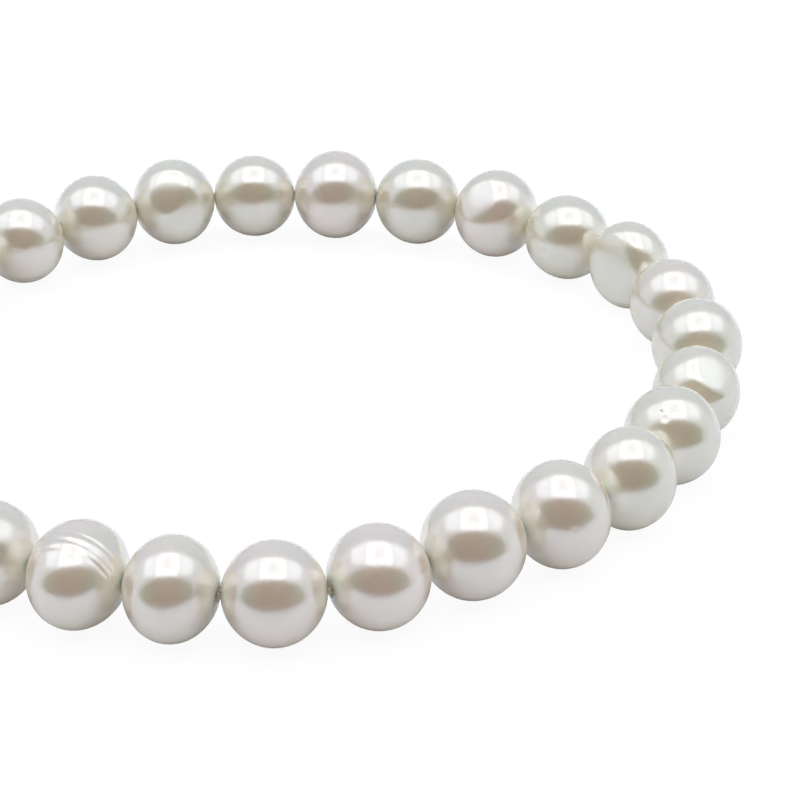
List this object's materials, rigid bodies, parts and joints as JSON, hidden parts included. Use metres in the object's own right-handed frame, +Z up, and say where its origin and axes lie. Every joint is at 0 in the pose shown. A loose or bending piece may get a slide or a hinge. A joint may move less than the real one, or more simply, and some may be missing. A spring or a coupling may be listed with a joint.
{
  "type": "pearl bracelet",
  "caption": "Bracelet of near-round white pearls strung face to face on a closed loop of thin elastic, lying flat in an open oval.",
  "frame": {"origin": "on the surface that the bracelet lies on, under the middle of its outer box", "axes": "+Z up, +X along the longer way across the oval loop, +Y across it"},
  "size_m": [0.0696, 0.0636, 0.0074],
  "materials": {
    "nacre": "lustrous white pearl nacre with a faint pink and green sheen",
    "elastic": "thin clear elastic, slightly clouded"
  },
  "bodies": {
    "root": {"pearl_01": "nacre", "pearl_02": "nacre", "pearl_03": "nacre", "pearl_04": "nacre", "pearl_05": "nacre", "pearl_06": "nacre", "pearl_07": "nacre", "pearl_08": "nacre", "pearl_09": "nacre", "pearl_10": "nacre", "pearl_11": "nacre", "pearl_12": "nacre", "pearl_13": "nacre", "pearl_14": "nacre", "pearl_15": "nacre", "pearl_16": "nacre", "pearl_17": "nacre", "pearl_18": "nacre", "pearl_19": "nacre", "pearl_20": "nacre", "pearl_21": "nacre", "pearl_22": "nacre", "pearl_23": "nacre", "pearl_24": "nacre", "pearl_25": "nacre", "pearl_26": "nacre", "pearl_27": "nacre", "pearl_28": "nacre", "elastic_cord": "elastic"}
  },
  "joints": []
}
